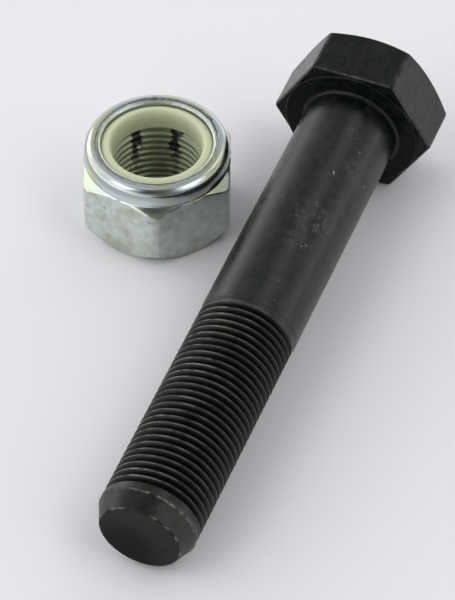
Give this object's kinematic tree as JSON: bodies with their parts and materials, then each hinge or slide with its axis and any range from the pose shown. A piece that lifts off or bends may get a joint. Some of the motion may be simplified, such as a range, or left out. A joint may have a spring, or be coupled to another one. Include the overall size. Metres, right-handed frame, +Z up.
{
  "type": "hex bolt with lock nut",
  "caption": "Hexagon head bolt with a plain shank, fine thread and tapered tip, lying beside its nylon insert lock nut.",
  "frame": {"origin": "on the floor under the middle of the pair", "axes": "+Z up; the bolt's axis runs along Y with its tip towards -Y and its head towards +Y, dipping 2.7 degrees towards the tip; the nut stands on the -X side with its axis along Z"},
  "size_m": [0.0606, 0.112, 0.0272],
  "materials": {
    "black_oxide_steel": "black oxide, semi-gloss, worn bright on the thread's crests",
    "zinc_plated_steel": "zinc plated, satin with faint stains",
    "nylon": "pale cream-green, slightly glossy"
  },
  "bodies": {
    "root": {"hex_bolt": "black_oxide_steel", "nut_body": "zinc_plated_steel", "nylon_ring": "nylon"}
  },
  "joints": []
}
